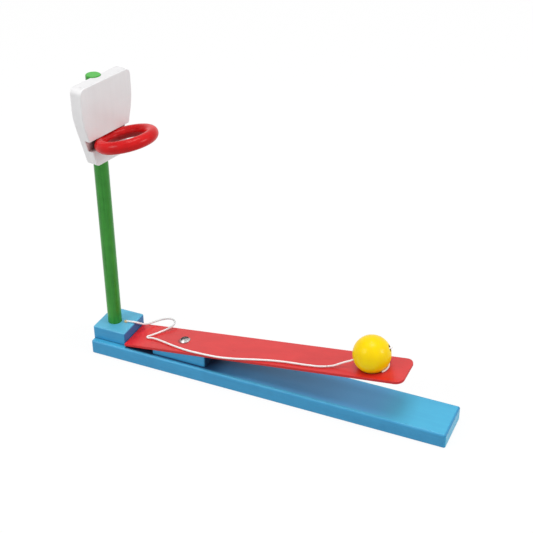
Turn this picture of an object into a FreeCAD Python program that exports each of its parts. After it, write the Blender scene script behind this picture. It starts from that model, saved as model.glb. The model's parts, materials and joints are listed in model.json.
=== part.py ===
import FreeCAD, Part
import math
import os
import Sketcher

# Tabletop basketball game in painted wood. A springy strip, clamped on a wedge by one
# screw, throws a ball that is tied to an elastic cord at a hoop on a post.
# X runs along the base from the post to the throwing end, Y to the back and Z up.
# The origin is the centre of the base's underside. Lengths are in millimetres.

SIZES = {
    # Base board
    "base_length": 310.0,
    "base_width": 39.3,
    "base_thickness": 12.4,
    "base_edge_round": 1.8,
    "base_end_round": 1.6,
    "base_foot_round": 0.8,
    # Block that holds the post, glued on the base's end, a little behind its middle
    "block_length": 30.3,
    "block_width": 33.2,
    "block_height": 11.8,
    "block_behind_middle": 1.75,
    "block_edge_round": 1.4,
    # Hole in the block's top where the cord is pinned
    "cord_hole_from_end": 22.6,
    "cord_hole_behind_middle": 1.6,
    "cord_hole_diameter": 3.2,
    "cord_hole_depth": 7.0,
    "peg_proud": 1.3,
    "peg_round": 0.6,
    # Post, a dowel glued through the block into the base
    "post_from_end": 12.8,
    "post_diameter": 11.7,
    "post_above_base": 234.0,
    "post_sink": 8.0,
    "post_top_round": 0.8,
    "glue_gap": 0.1,
    # Backboard, turned about the post, with its back grooved round the dowel
    "board_turn_angle": 10.9,
    "board_above_base": 166.9,
    "board_height": 66.4,
    "board_width": 55.8,
    "board_foot_width": 32.6,
    "board_shoulder_height": 41.3,
    "board_thickness": 10.6,
    "board_back_from_axis": 1.7,
    "board_shoulder_round": 55.0,
    "board_top_corner": 5.3,
    "board_foot_corner": 3.5,
    "board_edge_round": 0.9,
    # Slot across the backboard's front that the hoop is glued in
    "slot_above_foot": 13.5,
    "slot_height": 9.2,
    "slot_depth": 4.2,
    # Hoop, a turned wooden ring tipped up at its outer edge
    "hoop_ring_radius": 20.0,
    "hoop_stock_diameter": 9.7,
    "hoop_reach": 28.9,
    "hoop_above_foot": 21.5,
    "hoop_pitch_angle": 14.5,
    # Wedge under the strip
    "wedge_length": 49.2,
    "wedge_width": 31.3,
    "wedge_rise": 6.7,
    "wedge_corner_round": 2.0,
    # Throwing strip; its heel overhangs the wedge's low side towards the block
    "strip_length": 243.5,
    "strip_width": 33.0,
    "strip_thickness": 2.4,
    "heel_overhang": 25.65,
    "heel_block_gap": 0.36,
    "heel_base_gap": 0.64,
    "strip_corner": 6.5,
    "strip_edge_round": 0.4,
    # Round seat for the ball, cut through the strip
    "seat_from_tip": 28.5,
    "seat_diameter": 21.0,
    "seat_gap": 0.4,
    # Screw and cup washer that clamp the strip on the wedge
    "screw_slope_share": 0.5236,
    "screw_shank_diameter": 3.0,
    "screw_reach": 17.5,
    "screw_tip_room": 0.6,
    "screw_head_diameter": 5.8,
    "screw_head_depth": 1.5,
    "screw_head_crown": 0.35,
    "screw_recess_width": 0.8,
    "screw_recess_length": 3.2,
    "screw_recess_depth": 0.9,
    "screw_gap": 0.1,
    "washer_diameter": 9.0,
    "washer_height": 1.6,
    "washer_rim": 0.5,
    "washer_lip_diameter": 7.2,
    "washer_lip_round": 0.25,
    # Ball, bored for the cord, with a wider pocket for the knot
    "ball_diameter": 30.0,
    "ball_turn_angle": 18.5,
    "ball_tip_angle": 74.1,
    "ball_cord_bore": 2.5,
    "ball_knot_bore": 5.4,
    "ball_knot_depth": 12.0,
    "ball_mouth_round": 0.3,
    "knot_diameter": 3.8,
    "knot_length": 3.4,
    # Elastic cord
    "cord_diameter": 1.5,
    # Every cut runs this far past the faces that it opens
    "overrun": 2.0,
}

# Two places closer than this are the same place.
SAME = 1e-5

# Share of its shorter run that a cord's arc takes at a corner of its route.
CORD_ARC_SHARE = 0.45

# Route of the cord by hand. It leaves the peg on the block, loops out behind the
# strip, folds back sharply on it and runs towards the ball.
LOOP_ROUTE = [
    (-132.2, 1.6, 25.3), (-129.3, 1.9, 25.3), (-125.9, 2.2, 25.7), (-122.5, 3.7, 24.8),
    (-119.9, 6.7, 22.4), (-118.4, 10.4, 20.0), (-116.6, 14.5, 18.9), (-113.2, 18.6, 19.4),
    (-108.9, 21.9, 20.5), (-103.6, 23.9, 21.7), (-98.2, 22.9, 22.6), (-94.6, 19.1, 22.9),
    (-94.5, 14.5, 22.2), (-97.1, 10.9, 21.1), (-100.4, 7.3, 20.1), (-103.4, 3.6, 19.5),
    (-106.5, 0.4, 19.1), (-108.9, -1.8, 18.8), (-110.5, -2.9, 18.6), (-110.6, -4.3, 18.6),
    (-109.6, -5.2, 18.7), (-107.5, -4.9, 19.0), (-104.2, -4.2, 19.4), (-98.9, -5.1, 20.1),
    (-91.5, -7.7, 21.2), (-83.9, -10.2, 22.2), (-76.2, -12.4, 23.2), (-68.7, -14.4, 24.3),
    (-62.1, -15.6, 25.1), (-56.0, -16.3, 25.9), (-49.7, -16.9, 26.7),
]

# The same cord goes on along the strip's front edge and lies back on the strip.
RUN_ROUTE = [
    (-49.7, -16.9, 26.7), (-43.4, -17.5, 27.5), (-36.4, -17.8, 28.3), (-28.6, -17.6, 29.4),
    (-19.8, -16.8, 30.7), (-9.9, -15.2, 32.2), (0.6, -13.6, 33.6), (11.7, -12.3, 35.1),
    (23.3, -12.0, 36.7), (34.4, -12.2, 38.2), (44.2, -12.0, 39.5), (50.5, -11.4, 40.3),
    (54.6, -10.2, 41.0),
]

# It rises from the strip into the ball's near mouth and runs on to the knot.
LEAD_ROUTE = [
    (54.6, -10.2, 41.0), (58.7, -9.0, 41.7), (62.5, -7.6, 43.4), (66.3, -6.5, 45.5),
    (69.9, -5.8, 47.3), (72.4, -5.3, 48.5), (75.4, -4.1, 50.0), (79.5, -2.8, 51.9),
    (84.8, -0.8, 54.3), (89.9, 0.9, 56.6),
]

# Beyond the knot its tail bends down behind the ball and lies round the ball's foot.
TAIL_ROUTE = [
    (92.8, 2.0, 58.0), (95.5, 3.1, 59.2), (98.5, 4.5, 60.4), (101.0, 6.8, 61.0),
    (98.9, 10.9, 58.9), (96.0, 13.9, 55.6), (94.4, 15.1, 51.1), (95.2, 13.4, 47.5),
    (98.0, 10.3, 46.7), (100.4, 6.3, 47.1), (101.5, 1.6, 47.3), (101.0, -3.4, 47.2),
    (98.7, -7.8, 46.9), (94.8, -11.3, 46.4),
]

# Where the cord's hole, the wedge's high edge and the ball's middle were when the routes
# were chosen. A route's ends move with them.
DRAWN_CORD_HOLE = (-132.4, 1.6, 24.2)
DRAWN_HINGE = (-49.4, 0.0, 23.2)
DRAWN_BALL = (87.2, 0.0, 55.44)

doc = FreeCAD.newDocument("basketball_game")
sheet = doc.addObject("Spreadsheet::Sheet", "sizes")
for row, (alias, value) in enumerate(SIZES.items(), start=1):
    sheet.set(f"A{row}", str(value))
    sheet.setAlias(f"A{row}", alias)
doc.recompute()

# Formulas that several pieces share
POST_X = "(sizes.post_from_end - sizes.base_length / 2)"
WEDGE_ANGLE = "atan(sizes.wedge_rise / sizes.wedge_length)"
WEDGE_SLOPE = "sqrt(pow(sizes.wedge_length; 2) + pow(sizes.wedge_rise; 2))"
WEDGE_LOW = f"(sizes.heel_base_gap + sizes.heel_overhang * sin({WEDGE_ANGLE}))"
WEDGE_HIGH = f"({WEDGE_LOW} + sizes.wedge_rise)"
HEEL_REACH = (f"(sizes.heel_overhang * cos({WEDGE_ANGLE})"
              f" + sizes.strip_thickness * sin({WEDGE_ANGLE}))")
HINGE_X = (f"(sizes.block_length + sizes.heel_block_gap + {HEEL_REACH}"
           " + sizes.wedge_length - sizes.base_length / 2)")
HINGE_Z = f"(sizes.base_thickness + {WEDGE_HIGH})"
STRIP_HEEL = f"({WEDGE_SLOPE} + sizes.heel_overhang)"
STRIP_TIP = f"(sizes.strip_length - {STRIP_HEEL})"
SCREW_X = f"(-sizes.screw_slope_share * {WEDGE_SLOPE})"
SEAT_X = f"({STRIP_TIP} - sizes.seat_from_tip)"
BALL_RISE = "sqrt(pow(sizes.ball_diameter / 2; 2) - pow(sizes.seat_diameter / 2; 2))"
BOARD_FRONT = "(sizes.board_back_from_axis + sizes.board_thickness)"
SLOT_FLOOR = "(sizes.board_back_from_axis + sizes.board_thickness - sizes.slot_depth)"
SLOT_TOP = "(sizes.slot_above_foot + sizes.slot_height)"
POST_HOLE_RADIUS = "sizes.post_diameter / 2 + sizes.glue_gap"


def place(across="0", back="0", up="0", turn="rotationz(0)"):
    """Formula of a placement, from formulas of its position and its turn."""
    return f"placement(vector({across}; {back}; {up}); {turn})"


# The strip's own frame: X along its underside from the wedge's high edge, Z square to it
STRIP_PLACE = place(HINGE_X, "0", HINGE_Z, f"rotationy(-{WEDGE_ANGLE})")
SCREW_PLACE = STRIP_PLACE + " * " + place(SCREW_X)

# The backboard's own frame: X out of its front from the post's axis, Z up from its foot
BOARD_PLACE = place(POST_X, "0", "sizes.base_thickness + sizes.board_above_base",
                    "rotationz(-sizes.board_turn_angle)")

BALL_PLACE = (
    STRIP_PLACE
    + " * " + place(SEAT_X, "0", f"sizes.strip_thickness + {BALL_RISE} + sizes.seat_gap",
                    "rotationz(sizes.ball_turn_angle)")
    + " * " + place(turn="rotationy(sizes.ball_tip_angle)")
)


def measure(formula):
    """The number that a formula on the sheet gives now."""
    answer = sheet.evalExpression(formula)
    return float(getattr(answer, "Value", answer))


def make_body(name, placement):
    body = doc.addObject("PartDesign::Body", name)
    body.Label = name
    body.setExpression("Placement", placement)
    return body


def make_sketch(body, name, plane, offset=None):
    """A sketch on one of the body's own origin planes, moved by the offset's formula."""
    sketch = body.newObject("Sketcher::SketchObject", name)
    support = next(item for item in body.Origin.OriginFeatures if item.Role == plane)
    sketch.AttachmentSupport = [(support, "")]
    sketch.MapMode = "FlatFace"
    if offset is not None:
        sketch.setExpression("AttachmentOffset", offset)
    return sketch


def bind(sketch, name, kind, picked, formula):
    """A named dimension of the sketch that follows a formula."""
    number = sketch.addConstraint(Sketcher.Constraint(kind, *picked, measure(formula)))
    sketch.renameConstraint(number, name)
    sketch.setExpression(f"Constraints.{name}", formula)


def pin_point(sketch, name, geometry, end, across, up):
    """Hold one end of a line or arc, or a centre, at a place given by formulas."""
    bind(sketch, name + "_across", "DistanceX", (-1, 1, geometry, end), across)
    bind(sketch, name + "_up", "DistanceY", (-1, 1, geometry, end), up)


def draw_outline(sketch, corners):
    """A closed outline of straight lines through corners given by formulas."""
    points = [FreeCAD.Vector(measure(across), measure(up), 0) for across, up in corners]
    for start, end in zip(points, points[1:] + points[:1]):
        sketch.addGeometry(Part.LineSegment(start, end), False)
    for index, (across, up) in enumerate(corners):
        following = (index + 1) % len(corners)
        sketch.addConstraint(Sketcher.Constraint("Coincident", index, 2, following, 1))
        pin_point(sketch, f"corner_{index}", index, 1, across, up)


def draw_circle(sketch, name, radius, across="0", up="0"):
    centre = FreeCAD.Vector(measure(across), measure(up), 0)
    circle = Part.Circle(centre, FreeCAD.Vector(0, 0, 1), measure(radius))
    number = sketch.addGeometry(circle, False)
    bind(sketch, name + "_radius", "Radius", (number,), radius)
    pin_point(sketch, name, number, 3, across, up)


def make_feature(body, kind, name, sketch, formulas, **settings):
    """A PartDesign feature on a sketch, its sizes bound to formulas."""
    feature = body.newObject("PartDesign::" + kind, name)
    feature.Profile = sketch
    for setting, value in settings.items():
        setattr(feature, setting, value)
    for setting, formula in formulas.items():
        feature.setExpression(setting, formula)
    return feature


def pad(body, name, sketch, length, **settings):
    return make_feature(body, "Pad", name, sketch, {"Length": length}, **settings)


def pocket(body, name, sketch, length, **settings):
    """A pocket that has to take something away."""
    doc.recompute()
    before = body.Shape.Volume
    cut = make_feature(body, "Pocket", name, sketch, {"Length": length}, **settings)
    doc.recompute()
    if not body.Shape.Volume < before - SAME:
        raise RuntimeError(f"{name} cuts nothing")
    return cut


def revolve(body, name, sketch):
    turned = make_feature(body, "Revolution", name, sketch, {})
    turned.ReferenceAxis = (sketch, ["V_Axis"])
    turned.Angle = 360
    return turned


def round_edges(body, name, radius, wanted):
    """Fillet the edges of the body so far that the test wants."""
    doc.recompute()
    base = body.Tip
    names = [f"Edge{number}" for number, edge in enumerate(base.Shape.Edges, start=1)
             if wanted(edge)]
    fillet = body.newObject("PartDesign::Fillet", name)
    fillet.Base = (base, names)
    fillet.setExpression("Radius", radius)
    return fillet


def runs_along_x(edge):
    box = edge.BoundBox
    return box.XLength > SAME and box.YLength < SAME and box.ZLength < SAME


def is_upright(edge):
    box = edge.BoundBox
    return box.ZLength > SAME and box.XLength < SAME and box.YLength < SAME


def lies_at_height(edge, height):
    box = edge.BoundBox
    return abs(box.ZMin - height) < SAME and abs(box.ZMax - height) < SAME


def drill_for_screw(body, offset, radius, depth):
    """Bore square to the strip, from its underside down."""
    sketch = make_sketch(body, body.Name + "_screw_hole", "XY_Plane", offset)
    draw_circle(sketch, "hole", radius)
    return pocket(body, body.Name + "_screw_bore", sketch, depth)


def make_base_board():
    body = make_body("base_board", place())
    section = make_sketch(body, "base_section", "YZ_Plane")
    half = "sizes.base_width / 2"
    draw_outline(section, [(f"-{half}", "0"), (half, "0"), (half, "sizes.base_thickness"),
                           (f"-{half}", "sizes.base_thickness")])
    pad(body, "base_pad", section, "sizes.base_length", SideType="Symmetric")
    top = measure("sizes.base_thickness")
    round_edges(body, "base_long_rounds", "sizes.base_edge_round",
                lambda edge: runs_along_x(edge) and lies_at_height(edge, top))
    end = measure("sizes.base_length / 2")
    round_edges(body, "base_end_rounds", "sizes.base_end_round",
                lambda edge: edge.BoundBox.XLength < SAME
                and abs(abs(edge.BoundBox.XMin) - end) < SAME
                and not lies_at_height(edge, 0))
    round_edges(body, "base_foot_rounds", "sizes.base_foot_round",
                lambda edge: lies_at_height(edge, 0))
    socket = make_sketch(body, "base_post_socket", "XY_Plane",
                         place(POST_X, "0", "sizes.base_thickness"))
    draw_circle(socket, "socket", POST_HOLE_RADIUS)
    pocket(body, "base_post_bore", socket, "sizes.post_sink")
    drill_for_screw(body, SCREW_PLACE,
                    "sizes.screw_shank_diameter / 2 + sizes.screw_gap",
                    "sizes.screw_reach - sizes.strip_thickness + sizes.screw_tip_room")
    return body


def make_post_block():
    middle = "(sizes.block_length / 2 - sizes.base_length / 2)"
    body = make_body("post_block", place(middle, "sizes.block_behind_middle",
                                         "sizes.base_thickness"))
    foot = make_sketch(body, "block_foot", "XY_Plane")
    along = "sizes.block_length / 2"
    wide = "sizes.block_width / 2"
    draw_outline(foot, [(f"-{along}", f"-{wide}"), (along, f"-{wide}"), (along, wide),
                        (f"-{along}", wide)])
    pad(body, "block_pad", foot, "sizes.block_height")
    top = measure("sizes.block_height")
    round_edges(body, "block_rounds", "sizes.block_edge_round",
                lambda edge: is_upright(edge) or lies_at_height(edge, top))
    bore = make_sketch(body, "block_post_hole", "XY_Plane", place(up="sizes.block_height"))
    draw_circle(bore, "post_hole", POST_HOLE_RADIUS, f"{POST_X} - {middle}",
                "-sizes.block_behind_middle")
    pocket(body, "block_post_bore", bore, "sizes.block_height")
    pin_hole = make_sketch(body, "block_cord_hole", "XY_Plane", place(up="sizes.block_height"))
    draw_circle(pin_hole, "cord_hole", "sizes.cord_hole_diameter / 2",
                f"sizes.cord_hole_from_end - sizes.base_length / 2 - {middle}",
                "sizes.cord_hole_behind_middle - sizes.block_behind_middle")
    pocket(body, "block_cord_bore", pin_hole, "sizes.cord_hole_depth")
    return body


def make_cord_peg():
    """Wooden pin that jams the cord's end in the block."""
    body = make_body("cord_peg", place(
        "sizes.cord_hole_from_end - sizes.base_length / 2", "sizes.cord_hole_behind_middle",
        "sizes.base_thickness + sizes.block_height - sizes.cord_hole_depth"))
    end = make_sketch(body, "peg_end", "XY_Plane")
    draw_circle(end, "peg", "sizes.cord_hole_diameter / 2 - sizes.glue_gap")
    pad(body, "peg_pad", end, "sizes.cord_hole_depth + sizes.peg_proud")
    top = measure("sizes.cord_hole_depth + sizes.peg_proud")
    round_edges(body, "peg_top_round", "sizes.peg_round",
                lambda edge: lies_at_height(edge, top))
    return body


def make_post():
    body = make_body("post", place(POST_X, "0", "sizes.base_thickness - sizes.post_sink"))
    end = make_sketch(body, "post_end", "XY_Plane")
    draw_circle(end, "dowel", "sizes.post_diameter / 2")
    pad(body, "post_pad", end, "sizes.post_above_base + sizes.post_sink")
    top = measure("sizes.post_above_base + sizes.post_sink")
    round_edges(body, "post_top_rounds", "sizes.post_top_round",
                lambda edge: lies_at_height(edge, top))
    return body


def make_backboard():
    """Tapered board with a slot for the hoop in front and a groove for the post behind."""
    body = make_body("backboard", BOARD_PLACE)
    front = make_sketch(body, "board_outline", "YZ_Plane",
                        place(up="sizes.board_back_from_axis"))
    foot = "sizes.board_foot_width / 2"
    wide = "sizes.board_width / 2"
    shoulder = "sizes.board_shoulder_height"
    draw_outline(front, [(f"-{foot}", "0"), (foot, "0"), (wide, shoulder),
                         (wide, "sizes.board_height"), (f"-{wide}", "sizes.board_height"),
                         (f"-{wide}", shoulder)])
    pad(body, "board_pad", front, "sizes.board_thickness")

    def goes_through_at(height):
        level = measure(height)
        return lambda edge: (edge.BoundBox.XLength > SAME
                             and lies_at_height(edge, level))

    round_edges(body, "board_shoulders", "sizes.board_shoulder_round",
                goes_through_at(shoulder))
    round_edges(body, "board_top_corners", "sizes.board_top_corner",
                goes_through_at("sizes.board_height"))
    round_edges(body, "board_foot_corners", "sizes.board_foot_corner", goes_through_at("0"))
    round_edges(body, "board_face_rounds", "sizes.board_edge_round",
                lambda edge: edge.BoundBox.XLength < SAME)
    slot = make_sketch(body, "board_slot", "XZ_Plane")
    ahead = f"{BOARD_FRONT} + sizes.overrun"
    draw_outline(slot, [(SLOT_FLOOR, "sizes.slot_above_foot"),
                        (ahead, "sizes.slot_above_foot"), (ahead, SLOT_TOP),
                        (SLOT_FLOOR, SLOT_TOP)])
    pocket(body, "board_slot_cut", slot, "sizes.board_width + sizes.overrun",
           SideType="Symmetric")
    groove = make_sketch(body, "board_groove", "XY_Plane", place(up="-sizes.overrun"))
    draw_circle(groove, "groove", POST_HOLE_RADIUS)
    pocket(body, "board_groove_cut", groove, "sizes.board_height + 2 * sizes.overrun",
           Reversed=True)
    return body


def make_hoop_ring():
    """Ring whose back is filed to a step, to seat on the slot's floor and lower lip."""
    body = make_body("hoop_ring", BOARD_PLACE)
    section = make_sketch(body, "hoop_section", "XZ_Plane",
                          place("sizes.hoop_reach", "sizes.hoop_above_foot", "0",
                                "rotationz(sizes.hoop_pitch_angle)"))
    draw_circle(section, "stock", "sizes.hoop_stock_diameter / 2", "sizes.hoop_ring_radius")
    revolve(body, "hoop_turning", section)
    seat = make_sketch(body, "hoop_seat", "XZ_Plane")
    past = "-sizes.overrun"
    above = "sizes.board_height"
    draw_outline(seat, [(past, past), (BOARD_FRONT, past),
                        (BOARD_FRONT, "sizes.slot_above_foot"),
                        (SLOT_FLOOR, "sizes.slot_above_foot"), (SLOT_FLOOR, above),
                        (past, above)])
    pocket(body, "hoop_seat_cut", seat, "2 * sizes.hoop_ring_radius + sizes.hoop_stock_diameter",
           SideType="Symmetric")
    return body


def make_wedge_block():
    body = make_body("wedge_block", place(HINGE_X, "0", "sizes.base_thickness"))
    side = make_sketch(body, "wedge_side", "XZ_Plane")
    draw_outline(side, [("-sizes.wedge_length", "0"), ("0", "0"), ("0", WEDGE_HIGH),
                        ("-sizes.wedge_length", WEDGE_LOW)])
    pad(body, "wedge_pad", side, "sizes.wedge_width", SideType="Symmetric")
    round_edges(body, "wedge_corners", "sizes.wedge_corner_round", is_upright)
    slope = place("0", "0", WEDGE_HIGH, f"rotationy(-{WEDGE_ANGLE})")
    drill_for_screw(body, slope + " * " + place(SCREW_X),
                    "sizes.screw_shank_diameter / 2 + sizes.screw_gap",
                    f"{WEDGE_HIGH} + sizes.overrun")
    return body


def make_strip_part(name, low_end, high_end):
    """Flat length of the strip between two places along it."""
    body = make_body(name, STRIP_PLACE)
    flat = make_sketch(body, name + "_flat", "XY_Plane")
    half = "sizes.strip_width / 2"
    draw_outline(flat, [(low_end, f"-{half}"), (high_end, f"-{half}"), (high_end, half),
                        (low_end, half)])
    pad(body, name + "_pad", flat, "sizes.strip_thickness")
    return body


def make_strip_root():
    """Clamped heel of the strip, from its low end to the wedge's high edge."""
    body = make_strip_part("launch_strip_root", f"-{STRIP_HEEL}", "0")
    round_edges(body, "root_long_rounds", "sizes.strip_edge_round", runs_along_x)
    drill = make_sketch(body, "root_screw_hole", "XY_Plane",
                        place(SCREW_X, "0", "sizes.strip_thickness"))
    draw_circle(drill, "hole", "sizes.screw_shank_diameter / 2 + sizes.screw_gap")
    pocket(body, "root_screw_bore", drill, "sizes.strip_thickness")
    return body


def make_strip_blade():
    """Free length of the strip, with the ball's round seat near its tip."""
    body = make_strip_part("launch_strip_blade", "0", STRIP_TIP)
    far = measure(STRIP_TIP)
    round_edges(body, "blade_corners", "sizes.strip_corner",
                lambda edge: is_upright(edge) and abs(edge.BoundBox.XMax - far) < SAME)
    round_edges(body, "blade_edge_rounds", "sizes.strip_edge_round",
                lambda edge: edge.BoundBox.ZLength < SAME and edge.BoundBox.XMax > SAME)
    seat = make_sketch(body, "blade_seat", "XY_Plane",
                       place(SEAT_X, "0", "sizes.strip_thickness"))
    draw_circle(seat, "seat", "sizes.seat_diameter / 2")
    pocket(body, "blade_seat_cut", seat, "sizes.strip_thickness")
    return body


def make_cup_washer():
    """Pressed cup that the screw's head sinks into."""
    body = make_body("cup_washer", SCREW_PLACE + " * " + place(up="sizes.strip_thickness"))
    section = make_sketch(body, "washer_section", "XZ_Plane")
    bore = "sizes.screw_shank_diameter / 2 + 2 * sizes.screw_gap"
    seat = "sizes.screw_head_diameter / 2 + sizes.screw_gap"
    lip = "sizes.washer_lip_diameter / 2"
    rim = "sizes.washer_diameter / 2"
    floor = "(sizes.washer_height - sizes.screw_head_depth)"
    draw_outline(section, [(bore, "0"), (rim, "0"), (rim, "sizes.washer_rim"),
                           (lip, "sizes.washer_height"), (seat, "sizes.washer_height"),
                           (bore, floor)])
    revolve(body, "washer_turning", section)
    top = measure("sizes.washer_height")
    round_edges(body, "washer_lip_rounds", "sizes.washer_lip_round",
                lambda edge: lies_at_height(edge, top))
    return body


def make_strip_screw():
    """Countersunk wood screw with a low crown and a cross recess."""
    body = make_body("strip_screw", SCREW_PLACE + " * " + place(up="sizes.strip_thickness"))
    section = make_sketch(body, "screw_section", "XZ_Plane")
    shank = "sizes.screw_shank_diameter / 2"
    head = "sizes.screw_head_diameter / 2"
    neck = "(sizes.washer_height - sizes.screw_head_depth + sizes.screw_gap)"
    draw_outline(section, [
        ("0", "-sizes.screw_reach"),
        (shank, f"{shank} - sizes.screw_reach"),
        (shank, neck),
        (head, "sizes.washer_height"),
        (f"{head} - sizes.screw_head_crown", "sizes.washer_height + sizes.screw_head_crown"),
        ("0", "sizes.washer_height + sizes.screw_head_crown"),
    ])
    revolve(body, "screw_turning", section)
    recess = make_sketch(body, "screw_recess", "XY_Plane",
                         place(up="sizes.washer_height + sizes.screw_head_crown"))
    near = "sizes.screw_recess_width / 2"
    far = "sizes.screw_recess_length / 2"
    draw_outline(recess, [
        (f"-{near}", f"-{far}"), (near, f"-{far}"), (near, f"-{near}"), (far, f"-{near}"),
        (far, near), (near, near), (near, far), (f"-{near}", far), (f"-{near}", near),
        (f"-{far}", near), (f"-{far}", f"-{near}"), (f"-{near}", f"-{near}"),
    ])
    pocket(body, "screw_recess_cut", recess, "sizes.screw_recess_depth")
    return body


def make_ball():
    """Turned ball, bored for the cord on one side and for its knot on the other."""
    body = make_body("ball", BALL_PLACE)
    section = make_sketch(body, "ball_section", "XZ_Plane")
    radius = "sizes.ball_diameter / 2"
    cord = "sizes.ball_cord_bore / 2"
    knot = "sizes.ball_knot_bore / 2"
    near_mouth = f"sqrt(pow({radius}; 2) - pow({cord}; 2))"
    far_mouth = f"sqrt(pow({radius}; 2) - pow({knot}; 2))"
    step = f"{radius} - sizes.ball_knot_depth"
    corners = [(cord, f"-{near_mouth}"), (cord, step), (knot, step), (knot, far_mouth)]
    points = [FreeCAD.Vector(measure(across), measure(up), 0) for across, up in corners]
    for start, end in zip(points, points[1:]):
        sketch_line = Part.LineSegment(start, end)
        section.addGeometry(sketch_line, False)
    middle = FreeCAD.Vector(measure(radius), 0, 0)
    section.addGeometry(Part.Arc(points[0], middle, points[-1]), False)
    last_line = len(points) - 2
    arc = last_line + 1
    for index, (across, up) in enumerate(corners[:-1]):
        pin_point(section, f"corner_{index}", index, 1, across, up)
        if index < last_line:
            section.addConstraint(Sketcher.Constraint("Coincident", index, 2, index + 1, 1))
    pin_point(section, "far_mouth", last_line, 2, *corners[-1])
    section.addConstraint(Sketcher.Constraint("Coincident", arc, 1, 0, 1))
    section.addConstraint(Sketcher.Constraint("Coincident", arc, 2, last_line, 2))
    section.addConstraint(Sketcher.Constraint("PointOnObject", arc, 3, -2))
    revolve(body, "ball_turning", section)
    mouths = [measure(f"-{near_mouth}"), measure(far_mouth)]
    round_edges(body, "ball_mouth_rounds", "sizes.ball_mouth_round",
                lambda edge: any(lies_at_height(edge, mouth) for mouth in mouths))
    return body


def make_cord_knot():
    """Plain barrel of the knot that stops the cord in the ball."""
    step = "(sizes.ball_diameter / 2 - sizes.ball_knot_depth + sizes.screw_gap)"
    body = make_body("cord_knot", BALL_PLACE + " * " + place(up=step))
    end = make_sketch(body, "knot_end", "XY_Plane")
    draw_circle(end, "knot", "sizes.knot_diameter / 2")
    pad(body, "knot_pad", end, "sizes.knot_length")
    round_edges(body, "knot_rounds", "sizes.knot_diameter / 4",
                lambda edge: edge.BoundBox.ZLength < SAME)
    return body


def shift_from(drawn, across, back, up):
    """How far a place given by formulas is from where it was drawn."""
    present = FreeCAD.Vector(measure(across), measure(back), measure(up))
    return present - FreeCAD.Vector(*drawn)


def follow(route, start_shift, end_shift):
    """The route with its ends moved, and the points between moved in proportion."""
    last = len(route) - 1
    points = []
    for index, point in enumerate(route):
        share = index / last
        points.append(FreeCAD.Vector(*point) + start_shift * (1 - share) + end_shift * share)
    return points


def make_cord(name, points):
    """Round cord of straight runs joined by tangent arcs."""
    edges = []
    radii = []
    start = points[0]
    for before, corner, after in zip(points, points[1:], points[2:]):
        incoming = corner - before
        outgoing = after - corner
        trim = CORD_ARC_SHARE * min(incoming.Length, outgoing.Length)
        half_turn = incoming.getAngle(outgoing) / 2
        incoming.normalize()
        outgoing.normalize()
        radius = trim / math.tan(half_turn)
        inward = outgoing - incoming
        inward.normalize()
        depth = radius / math.cos(half_turn) - radius
        first = corner - incoming * trim
        last = corner + outgoing * trim
        edges.append(Part.LineSegment(start, first).toShape())
        edges.append(Part.Arc(first, corner + inward * depth, last).toShape())
        radii.append(radius)
        start = last
    edges.append(Part.LineSegment(start, points[-1]).toShape())
    path = Part.Wire(edges)
    radius = SIZES["cord_diameter"] / 2
    ring = Part.makeCircle(radius, points[0], points[1] - points[0])
    cord = doc.addObject("Part::Feature", name)
    cord.Label = name
    cord.Shape = path.makePipeShell([Part.Wire(ring)], True, False)
    cord.Placement = FreeCAD.Placement()
    ideal = math.pi * radius ** 2 * path.Length
    print(f"{name}: length {path.Length:.1f}, volume {cord.Shape.Volume / ideal:.4f} of ideal, "
          f"arc radii {' '.join(f'{value:.1f}' for value in radii)}")
    return cord


def ball_middle():
    """Formulas of the middle of the ball, which stands on its seat in the sloping strip."""
    rise = f"(sizes.strip_thickness + {BALL_RISE} + sizes.seat_gap)"
    across = f"{HINGE_X} + {SEAT_X} * cos({WEDGE_ANGLE}) - {rise} * sin({WEDGE_ANGLE})"
    up = f"{HINGE_Z} + {SEAT_X} * sin({WEDGE_ANGLE}) + {rise} * cos({WEDGE_ANGLE})"
    return across, "0", up


hole_shift = shift_from(DRAWN_CORD_HOLE, "sizes.cord_hole_from_end - sizes.base_length / 2",
                        "sizes.cord_hole_behind_middle",
                        "sizes.base_thickness + sizes.block_height")
hinge_shift = shift_from(DRAWN_HINGE, HINGE_X, "0", HINGE_Z)
ball_shift = shift_from(DRAWN_BALL, *ball_middle())
for label, shift in [("hole", hole_shift), ("hinge", hinge_shift), ("ball", ball_shift)]:
    print(f"{label} is {shift.Length:.3f} from where the cord's route was drawn")

pieces = [
    make_base_board(),
    make_post_block(),
    make_cord_peg(),
    make_post(),
    make_backboard(),
    make_hoop_ring(),
    make_wedge_block(),
    make_strip_root(),
    make_strip_blade(),
    make_cup_washer(),
    make_strip_screw(),
    make_ball(),
    make_cord_knot(),
    make_cord("cord_loop", follow(LOOP_ROUTE, hole_shift, hinge_shift)),
    make_cord("cord_run", follow(RUN_ROUTE, hinge_shift, ball_shift)),
    make_cord("cord_lead", follow(LEAD_ROUTE, ball_shift, ball_shift)),
    make_cord("cord_tail", follow(TAIL_ROUTE, ball_shift, ball_shift)),
]
doc.recompute()

for item in doc.Objects:
    if "Invalid" in item.State or "Error" in item.State:
        raise RuntimeError(f"{item.Label} has state {item.State}")
for piece in pieces:
    if piece.Shape.isNull() or not piece.Shape.isValid():
        raise RuntimeError(f"{piece.Label} has no valid shape")

os.makedirs("parts", exist_ok=True)
for piece in pieces:
    piece.Shape.exportStep(f"parts/{piece.Label}.step")
    box = piece.Shape.BoundBox
    print(f"{piece.Label}: {len(piece.Shape.Solids)} solid, "
          f"x {box.XMin:.1f} to {box.XMax:.1f}, y {box.YMin:.1f} to {box.YMax:.1f}, "
          f"z {box.ZMin:.1f} to {box.ZMax:.1f}, volume {piece.Shape.Volume:.1f}")
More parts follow.
